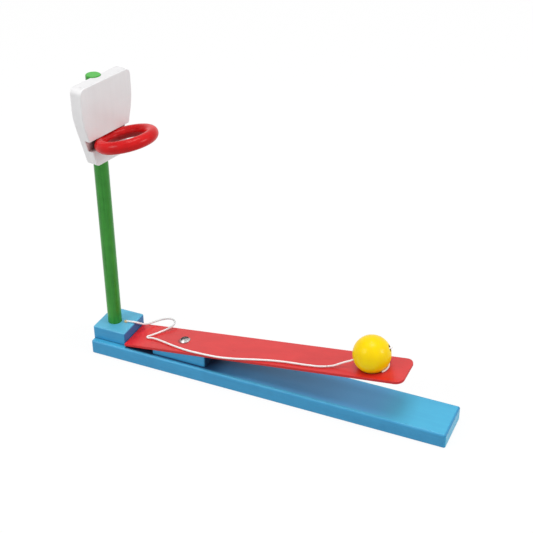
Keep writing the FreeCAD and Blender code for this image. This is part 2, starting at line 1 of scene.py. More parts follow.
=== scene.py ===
# %% [markdown]
# # A tabletop basketball game in painted wood
#
# The toy is a base board with a post at one end. A backboard and a hoop are glued to
# the post, and a thin strip of plywood is screwed on a wedge. You press the strip's tip
# down and let go, and it throws a ball that an elastic cord ties to the base.
#
# The solid parts come from the CAD model, which is loaded here as a fixed frame. This
# lesson gives them their paint, and makes the pieces that bend: the strip, the cord and
# its knot. All lengths are in metres, and `MM` turns millimetres into them.

# %% The frame
import json
import math

import bmesh
import bpy
from mathutils import Matrix, Quaternion, Vector


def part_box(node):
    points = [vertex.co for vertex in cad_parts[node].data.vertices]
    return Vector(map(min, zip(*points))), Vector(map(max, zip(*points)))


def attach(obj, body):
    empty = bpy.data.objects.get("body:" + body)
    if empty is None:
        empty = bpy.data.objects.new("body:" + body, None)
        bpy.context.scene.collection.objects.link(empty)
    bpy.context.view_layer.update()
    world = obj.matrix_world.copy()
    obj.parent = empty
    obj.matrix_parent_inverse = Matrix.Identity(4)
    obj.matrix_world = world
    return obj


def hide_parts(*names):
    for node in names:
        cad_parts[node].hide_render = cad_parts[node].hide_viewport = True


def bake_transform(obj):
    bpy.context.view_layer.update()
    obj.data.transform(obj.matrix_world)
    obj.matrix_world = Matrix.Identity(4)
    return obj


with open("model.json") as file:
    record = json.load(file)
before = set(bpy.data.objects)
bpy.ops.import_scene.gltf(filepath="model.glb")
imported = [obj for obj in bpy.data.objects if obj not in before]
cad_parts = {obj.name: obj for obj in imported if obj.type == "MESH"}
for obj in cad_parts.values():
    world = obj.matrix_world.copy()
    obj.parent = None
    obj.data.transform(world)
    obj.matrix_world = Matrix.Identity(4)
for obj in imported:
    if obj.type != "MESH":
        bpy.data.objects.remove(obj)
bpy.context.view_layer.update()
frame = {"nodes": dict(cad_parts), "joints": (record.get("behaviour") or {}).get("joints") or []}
MM = 0.001

# %% [markdown]
# ## The camera
#
# The camera stands where a photographer would: to the right of the throwing end, raised
# so that it looks down on the board. Azimuth and elevation give the direction from the
# toy back to the camera. A long lens keeps the board's far end nearly as large as its
# near end, and a small roll levels the picture.

# %% Camera
FRAME_WIDTH = 36.0
LENS = 78.23
AZIMUTH = math.radians(24.404)
ELEVATION = math.radians(31.522)
ROLL = math.radians(-0.437)
CAMERA_PLACE = Vector((311.53, -688.39, 575.91)) * MM


def make_camera():
    back = Vector((math.sin(AZIMUTH) * math.cos(ELEVATION),
                   -math.cos(AZIMUTH) * math.cos(ELEVATION), math.sin(ELEVATION)))
    right = Vector((math.cos(AZIMUTH), math.sin(AZIMUTH), 0))
    axes = Matrix((right, back.cross(right), back)).transposed()
    lens = bpy.data.cameras.new("camera")
    lens.lens = LENS
    lens.sensor_width = FRAME_WIDTH
    lens.clip_start = 0.01
    lens.clip_end = 20
    camera = bpy.data.objects.new("camera", lens)
    bpy.context.scene.collection.objects.link(camera)
    camera.rotation_mode = "QUATERNION"
    camera.rotation_quaternion = Quaternion(back, ROLL) @ axes.to_quaternion()
    camera.location = CAMERA_PLACE
    bpy.context.scene.camera = camera
    return camera


camera = make_camera()
looks_along = camera.rotation_quaternion @ Vector((0, 0, -1))
print("camera looks along", [round(value, 3) for value in looks_along])

# %% [markdown]
# ## The cord's line
#
# The elastic is one cord. It is jammed in the block by a peg, makes a loose loop behind
# the strip, folds back on the strip, lies along its front edge and rises into the ball.
# A knot in the ball stops it, and its tail lies round the ball's foot.
#
# A cord that bends must be a mesh, so each stretch is a tube. Its line is a NURBS
# spline: the points of the route pull a smooth line towards them, as a limp cord lies.

# %% Routes of the cord, in millimetres
CORD_RADIUS = 0.75 * MM

LOOP_ROUTE = [
    (-132.2, 1.6, 25.3), (-129.3, 1.9, 25.3), (-125.9, 2.2, 25.7), (-122.5, 3.7, 24.8),
    (-119.9, 6.7, 22.4), (-118.4, 10.4, 20.0), (-116.6, 14.5, 18.9), (-113.2, 18.6, 19.4),
    (-108.9, 21.9, 20.5), (-103.6, 23.9, 21.7), (-98.2, 22.9, 22.6), (-94.6, 19.1, 22.9),
    (-94.5, 14.5, 22.2), (-97.1, 10.9, 21.1), (-100.4, 7.3, 20.1), (-103.4, 3.6, 19.5),
    (-105.9, 0.5, 19.2), (-107.8, -1.7, 18.9), (-109.3, -2.8, 18.7), (-109.4, -4.2, 18.7),
    (-108.4, -5.1, 18.8), (-106.5, -4.9, 19.1), (-103.8, -4.4, 19.4), (-98.9, -5.4, 20.1),
    (-91.5, -7.7, 21.2), (-83.9, -10.2, 22.2), (-76.2, -12.4, 23.2), (-68.7, -14.4, 24.3),
    (-62.1, -15.6, 25.1), (-56.0, -16.3, 25.9), (-49.7, -16.9, 26.7),
]
RUN_ROUTE = [
    (-43.4, -17.5, 27.5), (-36.4, -17.8, 28.3), (-28.6, -17.6, 29.4), (-19.8, -16.8, 30.7),
    (-9.9, -15.2, 32.2), (0.6, -13.6, 33.6), (11.7, -12.3, 35.1), (23.3, -12.0, 36.7),
    (34.4, -12.2, 38.2), (44.2, -12.0, 39.5), (50.5, -11.4, 40.3), (54.6, -10.2, 41.0),
]
LEAD_ROUTE = [
    (54.6, -10.2, 41.0), (58.7, -9.0, 41.7), (62.5, -7.6, 43.4), (66.3, -6.5, 45.5),
    (69.9, -5.8, 47.3), (72.4, -5.3, 48.5), (75.4, -4.1, 50.0), (79.5, -2.8, 51.9),
    (84.8, -0.8, 54.3), (89.9, 0.9, 56.6),
]
TAIL_ROUTE = [
    (92.8, 2.0, 58.0), (95.5, 3.1, 59.2), (98.1, 1.8, 61.6), (101.2, 6.9, 61.4),
    (96.5, 13.9, 54.8), (93.4, 16.7, 51.0), (92.9, 17.0, 48.7), (94.3, 14.7, 47.3),
    (96.7, 10.6, 46.7), (99.1, 6.1, 46.7), (100.6, 2.2, 46.9), (100.7, -1.4, 47.0),
    (99.8, -4.9, 46.8), (98.2, -7.3, 46.6),
]


def smooth_line(name, route, steps=10):
    """Points along the NURBS line that a route in millimetres controls."""
    curve = bpy.data.curves.new(name, "CURVE")
    curve.dimensions = "3D"
    curve.resolution_u = steps
    spline = curve.splines.new("NURBS")
    spline.points.add(len(route) - 1)
    for point, place in zip(spline.points, route):
        point.co = (*(Vector(place) * MM), 1)
    spline.order_u = 3
    spline.use_endpoint_u = True
    holder = bpy.data.objects.new(name, curve)
    bpy.context.scene.collection.objects.link(holder)
    line = bpy.data.meshes.new_from_object(holder)
    points = [vertex.co.copy() for vertex in line.vertices]
    bpy.data.objects.remove(holder)
    bpy.data.curves.remove(curve)
    bpy.data.meshes.remove(line)
    return points


def line_length(points):
    return sum((b - a).length for a, b in zip(points, points[1:]))


lines = {
    "main": smooth_line("main", LOOP_ROUTE + RUN_ROUTE),
    "lead": smooth_line("lead", LEAD_ROUTE),
    "tail": smooth_line("tail", TAIL_ROUTE),
}
for name, points in lines.items():
    print(f"cord, {name}: {line_length(points) / MM:.1f} mm in {len(points)} points")

# %% [markdown]
# ## Tubes that follow a line
#
# A tube is a ring of vertices carried along the line. Each ring keeps the turn of the
# one before it, so the tube doesn't twist. Every vertex also remembers where it is on
# the cord, round it and along it, because the braid of the cover follows that.

# %% Tube
TUBE_SIDES = 14
CAP_DOME = [(0.45, 0.32), (0.8, 0.14)]


def link_mesh(name, mesh):
    piece = bpy.data.objects.new(name, mesh)
    bpy.context.scene.collection.objects.link(piece)
    return piece


def make_tube(name, points, radius, closed=False):
    """A round tube along points. An open one has a domed cap on each end."""
    count = len(points)
    tangents = []
    for index in range(count):
        before = points[(index - 1) % count] if closed or index else points[0]
        after = points[(index + 1) % count] if closed or index < count - 1 else points[-1]
        tangents.append((after - before).normalized())
    side = tangents[0].orthogonal().normalized()
    mesh_build = bmesh.new()
    braid = mesh_build.verts.layers.float_vector.new("braid")

    def add_ring(centre, tangent, size, along):
        ring = []
        up = tangent.cross(side)
        for step in range(TUBE_SIDES):
            angle = math.tau * step / TUBE_SIDES
            spoke = side * math.cos(angle) + up * math.sin(angle)
            vertex = mesh_build.verts.new(centre + spoke * radius * size)
            vertex[braid] = (math.cos(angle), math.sin(angle), along / radius)
            ring.append(vertex)
        return ring

    def add_cap(end, tangent, inward, dome):
        for size, share in dome:
            rings.append(add_ring(end + inward * radius * share, tangent, size, along))

    rings = []
    along = 0.0
    if not closed:
        add_cap(points[0], tangents[0], tangents[0], CAP_DOME)
    for index, (point, tangent) in enumerate(zip(points, tangents)):
        if index:
            along += (point - points[index - 1]).length
            side = (side - tangent * side.dot(tangent)).normalized()
        if closed or 0 < index < count - 1:
            rings.append(add_ring(point, tangent, 1.0, along))
    if not closed:
        add_cap(points[-1], tangents[-1], -tangents[-1], reversed(CAP_DOME))
    pairs = list(zip(rings, rings[1:]))
    if closed:
        pairs.append((rings[-1], rings[0]))
    for low, high in pairs:
        for step in range(TUBE_SIDES):
            other = (step + 1) % TUBE_SIDES
            mesh_build.faces.new((low[step], low[other], high[other], high[step]))
    if not closed:
        mesh_build.faces.new(list(reversed(rings[0])))
        mesh_build.faces.new(rings[-1])
    bmesh.ops.recalc_face_normals(mesh_build, faces=mesh_build.faces)
    for face in mesh_build.faces:
        face.smooth = True
    mesh = bpy.data.meshes.new(name)
    mesh_build.to_mesh(mesh)
    mesh_build.free()
    return link_mesh(name, mesh)


# %% [markdown]
# ## The strip's own directions
#
# The strip slopes up over its wedge. The joint that bends it sits on the wedge's high
# edge, and the ball lifts square to the strip, so the two joints give the strip's
# place and slope without a number of their own.

# %% Directions of the strip
joints = {joint["name"]: joint for joint in frame["joints"]}
hinge = Vector(joints["strip_flex"]["pos_m"])
upward = Vector(joints["ball_lift"]["axis"]).normalized()
along_strip = Vector((0, 1, 0)).cross(upward)
BEND_LENGTH = 80 * MM


def on_strip(along, across, height):
    """Point given in the strip's own directions from the wedge's high edge."""
    return hinge + along_strip * along + Vector((0, 1, 0)) * across + upward * height


print("strip slopes", round(math.degrees(math.atan2(along_strip.z, along_strip.x)), 2), "degrees")

# %% [markdown]
# ## The cord in three stretches
#
# The main stretch lies along the strip, the lead runs from the strip to the ball, and the
# tail goes with the ball.

# %% Cord pieces
main_cord = make_tube("elastic_cord", lines["main"], CORD_RADIUS)
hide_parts("cord_loop", "cord_run")
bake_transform(main_cord)

lead_cord = make_tube("ball_cord", lines["lead"], CORD_RADIUS)
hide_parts("cord_lead")
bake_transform(lead_cord)

tail_cord = make_tube("cord_end", lines["tail"], CORD_RADIUS)
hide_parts("cord_tail")
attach(tail_cord, "ball_body")

# %% [markdown]
# ## The knot in the ball
#
# An overhand knot is a trefoil: the cord goes round twice and through itself. Here it
# sits in the ball's wider bore, where only its end shows from the right.

# %% Knot
KNOT_STRAND = 0.5 * MM
KNOT_LOBE = 0.52 * MM
KNOT_RISE = 0.62 * MM
KNOT_STEPS = 96


def trefoil(middle, axis):
    """Points of a trefoil round an axis."""
    turn = Vector((0, 0, 1)).rotation_difference(axis)
    points = []
    for step in range(KNOT_STEPS):
        angle = math.tau * step / KNOT_STEPS
        flat = Vector((math.sin(angle) + 2 * math.sin(2 * angle),
                       math.cos(angle) - 2 * math.cos(2 * angle), 0)) * KNOT_LOBE
        flat.z = -math.sin(3 * angle) * KNOT_RISE
        points.append(middle + turn @ flat)
    return points


knot_low, knot_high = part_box("cord_knot")
bore = (lines["tail"][0] - lines["lead"][-1]).normalized()
knot_line = trefoil((knot_low + knot_high) / 2, bore)
ball_knot = make_tube("ball_knot", knot_line, KNOT_STRAND, closed=True)
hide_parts("cord_knot")
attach(ball_knot, "ball_body")

# %% What each stretch of cord is
line_length(lines["main"])
line_length(lines["lead"])
line_length(lines["tail"])
print("cord pieces:", [piece.name for piece in (main_cord, lead_cord, tail_cord, ball_knot)])

# %% [markdown]
# ## The throwing strip
#
# The real strip is one piece of thin plywood, cut to a long rectangle with rounded
# corners at the tip, drilled for the screw and bored for the ball. It bends over the
# wedge's edge. The CAD model splits it at the wedge, so here it is one mesh again.
#
# The outline and both holes are rings of points. Each ring is drawn a few times, nearer
# and further in, so that the sanded edges are round, and the two faces are filled
# between them. Cuts across the strip let the flat faces bend.

# %% Strip
STRIP_HEEL = 75.3 * MM
STRIP_TIP = 168.2 * MM
STRIP_HALF = 16.5 * MM
STRIP_THICK = 2.4 * MM
STRIP_CORNER = 6.5 * MM
EDGE_ROUND = 0.4 * MM
HOLE_ROUND = 0.12 * MM
SEAT = (139.7 * MM, 10.02 * MM)
SCREW_HOLE = (-26.0 * MM, 1.6 * MM)
CORNER_STEPS = 10
HOLE_STEPS = 72
BEND_CUT = 4 * MM
ROUND_TURNS = (0, 22.5, 45, 67.5, 90)
SHARP_ANGLE = math.radians(50)


def strip_outline(inset):
    """Corners of the strip's outline, square at the heel and round at the tip."""
    half = STRIP_HALF - inset
    heel = -STRIP_HEEL + inset
    centre_x = STRIP_TIP - STRIP_CORNER
    centre_y = STRIP_HALF - STRIP_CORNER
    radius = STRIP_CORNER - inset
    points = [(heel, half), (heel, -half)]
    for sign, first in ((-1, -math.pi / 2), (1, 0.0)):
        for step in range(CORNER_STEPS + 1):
            angle = first + math.pi / 2 * step / CORNER_STEPS
            points.append((centre_x + radius * math.cos(angle),
                           sign * centre_y + radius * math.sin(angle)))
    return points


def hole_outline(hole, inset):
    """Points round a hole, given as its middle along the strip and its radius."""
    centre, radius = hole
    return [(centre + (radius + inset) * math.cos(math.tau * step / HOLE_STEPS),
             (radius + inset) * math.sin(math.tau * step / HOLE_STEPS))
            for step in range(HOLE_STEPS)]


def make_strip():
    """The strip's mesh: rings for its edges, filled faces, and cuts where it bends."""
    mesh_build = bmesh.new()
    rims = {"low": [], "high": []}
    for outline, size in ((strip_outline, EDGE_ROUND),
                          (lambda inset: hole_outline(SEAT, inset), HOLE_ROUND),
                          (lambda inset: hole_outline(SCREW_HOLE, inset), HOLE_ROUND)):
        profile = [(size * (1 - math.sin(math.radians(turn))),
                    size * (1 - math.cos(math.radians(turn)))) for turn in ROUND_TURNS]
        levels = profile + [(inset, STRIP_THICK - height) for inset, height in reversed(profile)]
        rings = [[mesh_build.verts.new(on_strip(x, y, height)) for x, y in outline(inset)]
                 for inset, height in levels]
        for low, high in zip(rings, rings[1:]):
            for step in range(len(low)):
                other = (step + 1) % len(low)
                mesh_build.faces.new((low[step], low[other], high[other], high[step]))
        rims["low"].append(rings[0])
        rims["high"].append(rings[-1])
    for rings in rims.values():
        edges = []
        for ring in rings:
            for start, end in zip(ring, ring[1:] + ring[:1]):
                pair = (start, end)
                edges.append(mesh_build.edges.get(pair) or mesh_build.edges.new(pair))
        bmesh.ops.triangle_fill(mesh_build, use_beauty=True, edges=edges)
    place = -2 * BEND_CUT
    while place < BEND_LENGTH + BEND_CUT:
        everything = list(mesh_build.verts) + list(mesh_build.edges) + list(mesh_build.faces)
        bmesh.ops.bisect_plane(mesh_build, geom=everything, dist=1e-7,
                               plane_co=on_strip(place, 0, 0), plane_no=along_strip)
        place += BEND_CUT
    bmesh.ops.recalc_face_normals(mesh_build, faces=mesh_build.faces)
    for face in mesh_build.faces:
        face.smooth = True
    mesh = bpy.data.meshes.new("throwing_strip")
    mesh_build.to_mesh(mesh)
    mesh_build.free()
    mesh.set_sharp_from_angle(angle=SHARP_ANGLE)
    return link_mesh("throwing_strip", mesh)


strip = make_strip()
weigh = strip.modifiers.new("flat_faces", "WEIGHTED_NORMAL")
weigh.weight = 100
weigh.keep_sharp = True
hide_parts("launch_strip_root", "launch_strip_blade")
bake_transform(strip)
print("strip:", len(strip.data.vertices), "vertices")

# %% [markdown]
# ## Shader maths
#
# A material is a graph of nodes. `Wire` stands for one output of a node and lets Python's
# own signs add the Math nodes, so a mask reads as a sum. `Finish` is a material, and its
# one method `add` makes any node from its type, its settings and what its sockets get.

# %% Wires and finishes


class Wire:
    """One output of a shader node. Sums with it become Math nodes."""

    def __init__(self, finish, socket):
        self.finish = finish
        self.socket = socket

    def maths(self, operation, first, second):
        return self.finish.add("ShaderNodeMath", {"operation": operation}, {0: first, 1: second})

    def of(self, operation, other=0.0):
        """A Math operation that Python has no sign for, such as SINE or MAXIMUM."""
        return self.maths(operation, self, other)

    def __add__(self, other):
        return self.maths("ADD", self, other)

    def __radd__(self, other):
        return self.maths("ADD", other, self)

    def __sub__(self, other):
        return self.maths("SUBTRACT", self, other)

    def __rsub__(self, other):
        return self.maths("SUBTRACT", other, self)

    def __mul__(self, other):
        return self.maths("MULTIPLY", self, other)

    def __rmul__(self, other):
        return self.maths("MULTIPLY", other, self)


class Finish:
    """The nodes of a material, or of the world when it is made among the worlds."""

    def __init__(self, name, among=None):
        self.holder = (bpy.data.materials if among is None else among).new(name)
        self.holder.use_nodes = True
        self.tree = self.holder.node_tree
        self.tree.nodes.clear()

    def add(self, kind, settings=None, sockets=None, out=0):
        """A node with its settings, then its sockets. Returns one output as a Wire."""
        node = self.tree.nodes.new(kind)
        for name, value in (settings or {}).items():
            setattr(node, name, value)
        for name, value in (sockets or {}).items():
            if isinstance(value, Wire):
                self.tree.links.new(value.socket, node.inputs[name])
            else:
                node.inputs[name].default_value = value
        return Wire(self, node.outputs[out]) if node.outputs else None

    def place(self):
        """Where a point is on the object at rest, in metres."""
        return self.add("ShaderNodeTexCoord", out="Object")

    def vector(self, operation, *values):
        """Vector Math. A length or a dot product comes out as a number."""
        out = "Value" if operation in ("LENGTH", "DOT_PRODUCT") else 0
        sockets = {index: value if isinstance(value, Wire) else tuple(value)
                   for index, value in enumerate(values)}
        return self.add("ShaderNodeVectorMath", {"operation": operation}, sockets, out=out)

    def stretch(self, vector, sizes):
        """Place measured in the given sizes, so that noise is as long as they are."""
        return self.vector("MULTIPLY", vector, [1 / size for size in sizes])

    def along(self, vector, direction):
        """How far a point lies along a direction."""
        return self.vector("DOT_PRODUCT", vector, direction)

    def off_axis(self, offset, axis):
        """How far a point is from an axis through the middle that its offset starts at."""
        return self.vector("LENGTH", self.vector("CROSS_PRODUCT", offset, axis))

    def noise(self, vector, detail=3.0, rough=0.55, scale=1.0):
        return self.add("ShaderNodeTexNoise", {},
                        {"Vector": vector, "Scale": scale, "Detail": detail, "Roughness": rough})

    def rings(self, distance, spacing):
        """Noise that changes with a distance alone, so it makes rings or layers."""
        return self.add("ShaderNodeTexNoise", {"noise_dimensions": "1D"},
                        {"W": distance * (1 / spacing), "Scale": 1.0, "Detail": 2.0})

    def step(self, value, low, high):
        """0 below low, 1 above high, and smooth between."""
        return self.add("ShaderNodeMapRange", {"interpolation_type": "SMOOTHSTEP"},
                        {"Value": value, "From Min": low, "From Max": high})

    def mix(self, share, first, second):
        """A colour between two colours."""
        sockets = {0: share, 6: first, 7: second}
        return self.add("ShaderNodeMix", {"data_type": "RGBA"}, sockets, out=2)

    def bump(self, height, depth, over=None):
        """Relief of a real depth in metres, on top of another relief."""
        sockets = {"Height": height, "Distance": depth, "Strength": 1.0}
        if over is not None:
            sockets["Normal"] = over
        return self.add("ShaderNodeBump", {}, sockets, out="Normal")

    def end(self, **sockets):
        """The shader itself, with each socket's value or link."""
        names = {name.replace("_", " ").title().replace("Ior", "IOR"): value
                 for name, value in sockets.items()}
        shader = self.add("ShaderNodeBsdfPrincipled", {}, names)
        self.add("ShaderNodeOutputMaterial", {}, {"Surface": shader})
        return self.holder


def seen(red, green, blue):
    """A colour as a screen shows it, 0 to 255, as the light values that Blender uses."""
    def light(value):
        share = value / 255
        return share / 12.92 if share <= 0.04045 else ((share + 0.055) / 1.055) ** 2.4
    return (light(red), light(green), light(blue), 1.0)


# %% [markdown]
# ## Paint on wood
#
# Children's toys are dipped or brushed in a bright satin paint. Three things keep it from
# looking like plastic: the grain underneath shows as faint long streaks, the coat is
# thicker in some places than in others, and it is thin and rubbed on the rounded edges.
#
# The grain is a noise that is stretched along the wood. The edges are found from the
# surface's own direction: on a flat side it points along one axis, and on a rounded
# edge it doesn't. Nothing here depends on where the camera stands.

# %% Painted wood


def rounded_share(finish, normal):
    """0 on faces that are square to the axes, 1 on a rounded edge or corner."""
    size = finish.vector("ABSOLUTE", normal)
    x, y, z = (finish.along(size, axis) for axis in ((1, 0, 0), (0, 1, 0), (0, 0, 1)))
    largest = x.of("MAXIMUM", y).of("MAXIMUM", z)
    return finish.step(largest, 0.985, 0.8)


def painted_wood(name, deep, full, grain, roughness=0.32, worn=None, top_light_tone=None, streaks=0.4):
    """Paint between a deep and a full tone, over grain of the given length along each axis.

    Returns the finish, the place, the colour, the relief and the roughness.
    """
    finish = Finish(name)
    place = finish.place()
    fibre = finish.noise(finish.stretch(place, grain), detail=4.0, rough=0.6)
    brush = finish.noise(finish.stretch(place, [size * 2.7 for size in grain]), detail=2.0)
    cloud = finish.noise(finish.stretch(place, (14 * MM,) * 3), detail=2.0)
    peel = finish.noise(finish.stretch(place, (0.9 * MM,) * 3), detail=1.0)
    tone = finish.step(fibre * streaks + brush * (0.6 - 0.3 * streaks) + cloud * 0.5, 0.35, 0.95)
    colour = finish.mix(tone, deep, full)
    normal = finish.add("ShaderNodeTexCoord", out="Normal")
    # Faces that point up take a tone of their own, painted light and shade from above: lighter on
    # the blue and the green, darker on the white.
    if top_light_tone is not None:
        face_up = finish.step(finish.along(normal, (0, 0, 1)), 0.7, 0.98)
        colour = finish.mix(face_up * (tone * 0.3 + 0.7), colour, top_light_tone)
    if worn is not None:
        rub = finish.step(cloud + fibre * 0.4, 0.55, 0.95)
        colour = finish.mix(rounded_share(finish, normal) * rub * 0.3, colour, worn)
    relief = finish.bump(fibre, 0.04 * MM)
    relief = finish.bump(peel, 0.02 * MM, over=relief)
    return finish, place, colour, relief, cloud * 0.14 + brush * 0.08 + (roughness - 0.11)


def marked(finish, colour, marks):
    """The colour with each mark's tone over it, as strongly as the mark's mask says."""
    for mask, tone in marks:
        colour = finish.mix(mask, colour, tone)
    return colour


# %% [markdown]
# ## Blue and green paint
#
# The base, the block and the wedge share one blue. Under the strip the base's top has a
# painted shade, a little bluer, and darkest by the wedge and in the gap behind the strip's
# heel. The block's face toward the strip and the wedge's tall end are in painted shade, the
# block's top in painted light, and at the throwing end the base has painted shade on its
# rounded top edge and painted light on its end face. The foot of the block and the wedge
# is darker, partly dirt in the glue seams and partly painted contact shade.
#
# Each of these marks is a mask: how far along, across and up a point is, read against
# the places of the real edges, and the marks are laid over the paint one by one.

# %% Marks on the blue paint
BASE_TOP = 12.4 * MM
BASE_END = 155 * MM
BLOCK_TOP = 24.2 * MM
BLOCK_FACE = -124.7 * MM
WEDGE_FACE = -49.4 * MM

blue, place, colour, relief, rough = painted_wood(
    "blue_paint", seen(53, 149, 199), seen(63, 163, 213), (38 * MM, 1.1 * MM, 1.1 * MM),
    roughness=0.36, worn=seen(96, 180, 216), top_light_tone=seen(74, 178, 216))
run, across, height = (blue.along(place, axis) for axis in ((1, 0, 0), (0, 1, 0), (0, 0, 1)))
aside = across.of("ABSOLUTE")

on_top = (blue.step(height, BASE_TOP - 1 * MM, BASE_TOP - 0.2 * MM)
          * blue.step(height, BASE_TOP + 0.4 * MM, BASE_TOP))
# Painted shade of the strip on the base's top, and within it the painted shade by the wedge and in
# the gap behind the strip's heel.
strip_shade = (on_top * blue.step(run, 118 * MM, 88 * MM)
             * blue.step(run, BLOCK_FACE + 0.7 * MM, BLOCK_FACE + 1.7 * MM)
             * blue.step(aside, 19 * MM, 15.5 * MM))
above_base = blue.step(height, BASE_TOP, BASE_TOP + 0.4 * MM)
# Painted shade along the rounded top edge at the base's throwing end.
end_edge_shade = (blue.step(run, BASE_END - 2 * MM, BASE_END - 1.2 * MM)
            * blue.step(height, BASE_TOP - 2 * MM, BASE_TOP - 1.2 * MM))
# Painted light on the base's end face at the throwing end.
end_face_light = (blue.step(run, BASE_END - 0.6 * MM, BASE_END - 0.2 * MM)
             * blue.step(height, BASE_TOP - 1.6 * MM, BASE_TOP - 2.2 * MM))
# Painted shade on the block's face toward the strip.
block_side_shade = (blue.step(run, BLOCK_FACE - 0.8 * MM, BLOCK_FACE - 0.2 * MM)
              * blue.step(run, BLOCK_FACE + 0.7 * MM, BLOCK_FACE + 0.2 * MM) * above_base)
# Painted shade on the wedge's tall end, under the strip's bend.
wedge_end_shade = blue.step(run, WEDGE_FACE - 1 * MM, WEDGE_FACE - 0.2 * MM) * above_base
# Painted light on the block's top.
block_top_light = blue.step(height, BLOCK_TOP - 1.2 * MM, BLOCK_TOP - 0.2 * MM)
# Darker along the foot of the block and the wedge on the base: partly dirt in the glue seams,
# partly painted contact shade.
seam_dirt_and_shade = (blue.step(height, BASE_TOP + 0.9 * MM, BASE_TOP + 0.3 * MM)
        * blue.step(height, BASE_TOP, BASE_TOP + 0.1 * MM))
# Marks over the blue: painted shade under the strip, on the base's end edge, on the block's face
# toward the strip and on the wedge's end; painted light on the base's end face and the block's top;
# dirt and painted contact shade along the seams.
colour = marked(blue, colour, [
    (strip_shade, seen(84, 162, 216)),
    (strip_shade * blue.step(run, 0, WEDGE_FACE + 3.4 * MM) * 0.6, seen(42, 100, 154)),
    (strip_shade * blue.step(run, -30 * MM, WEDGE_FACE + 1.4 * MM) * 0.85, seen(22, 44, 78)),
    (strip_shade * blue.step(run, -92 * MM, -99 * MM) * 0.85, seen(20, 40, 66)),
    (end_edge_shade * 0.6, seen(38, 128, 178)),
    (end_face_light, seen(50, 176, 214)),
    (block_side_shade, seen(36, 112, 174)),
    (wedge_end_shade * 0.9, seen(18, 42, 78)),
    (block_top_light, seen(92, 181, 217)),
    (seam_dirt_and_shade * 0.8, seen(24, 62, 100)),
])
blue_paint = blue.end(base_color=colour, roughness=rough, normal=relief, specular_ior_level=0.36)
print("blue paint:", len(blue.tree.nodes), "nodes")

# %% Green paint
green_finish, _, colour, relief, rough = painted_wood(
    "green_paint", seen(37, 122, 33), seen(60, 157, 52), (0.9 * MM, 0.9 * MM, 30 * MM),
    roughness=0.3, top_light_tone=seen(70, 178, 60), streaks=0.35)
green_paint = green_finish.end(base_color=colour, roughness=rough, normal=relief,
                               specular_ior_level=0.3)
print("paints:", blue_paint.name, green_paint.name)

# %% [markdown]
# ## White paint and the slot
#
# The backboard is painted white before the hoop's slot is sawn across it. The sawn
# slot stays rough. Its dark reddish brown, pale pink at its end, is partly stain from glue
# and the hoop's red paint, and partly painted shade and a painted red reflection of the
# hoop. The slot is found by its height above the board's foot and its depth behind the front.

# %% White backboard
BOARD_TURN = math.radians(10.9)
BOARD_AHEAD = Vector((math.cos(BOARD_TURN), -math.sin(BOARD_TURN), 0))
BOARD_ACROSS = Vector((math.sin(BOARD_TURN), math.cos(BOARD_TURN), 0))
BOARD_FOOT = Vector((-142.2, 0, 179.3)) * MM
BOARD_FRONT = 12.3 * MM
SLOT_LOW = BOARD_FOOT.z + 13.5 * MM
SLOT_HIGH = BOARD_FOOT.z + 22.7 * MM
SLOT_MARGIN = 0.25 * MM
SLOT_BARE = 14 * MM

white, place, colour, relief, rough = painted_wood(
    "white_paint", seen(235, 234, 235), seen(241, 240, 241), (1.2 * MM, 1.2 * MM, 24 * MM),
    roughness=0.36, worn=seen(250, 250, 250), top_light_tone=seen(222, 221, 222), streaks=0.1)
height = white.along(place, (0, 0, 1))
ahead = white.along(place, BOARD_AHEAD) - BOARD_FOOT.dot(BOARD_AHEAD)
beside = white.along(place, BOARD_ACROSS) - BOARD_FOOT.dot(BOARD_ACROSS)
in_slot = (white.step(height, SLOT_LOW - SLOT_MARGIN, SLOT_LOW + SLOT_MARGIN)
           * white.step(height, SLOT_HIGH + SLOT_MARGIN, SLOT_HIGH - SLOT_MARGIN)
           * white.step(ahead, BOARD_FRONT - 0.2 * MM, BOARD_FRONT - 0.7 * MM)
           * white.step(ahead, BOARD_FRONT - 6 * MM, BOARD_FRONT - 4.4 * MM))
saw = white.noise(white.stretch(place, (1.6 * MM, 1.6 * MM, 0.5 * MM)), detail=4.0)
near_end = white.step(beside + saw * (3 * MM), -SLOT_BARE, -SLOT_BARE - 6 * MM)
# Partly stain, partly painted shade and painted red reflection inside the slot.
stain_and_shade = white.mix(white.step(saw, 0.35, 0.7), seen(112, 74, 74), seen(150, 116, 114))
stain_and_shade = white.mix(near_end, stain_and_shade, seen(222, 200, 200))
colour = white.mix(in_slot * 0.95, colour, stain_and_shade)
relief = white.bump(saw * in_slot, 0.25 * MM, over=relief)
white_paint = white.end(base_color=colour, roughness=rough + in_slot * 0.35, normal=relief)
print("slot from", round(SLOT_LOW / MM, 1), "to", round(SLOT_HIGH / MM, 1), "mm above the table")

# %% [markdown]
# ## Turned pieces
#
# The hoop and the ball are turned on a lathe and dipped in gloss paint. The tool leaves
# fine rings round the axis of turning, which the paint nearly fills. The rings are the
# distance along that axis, read through a fine noise, and a clear coat lies over them.

# %% Gloss paint on turned wood


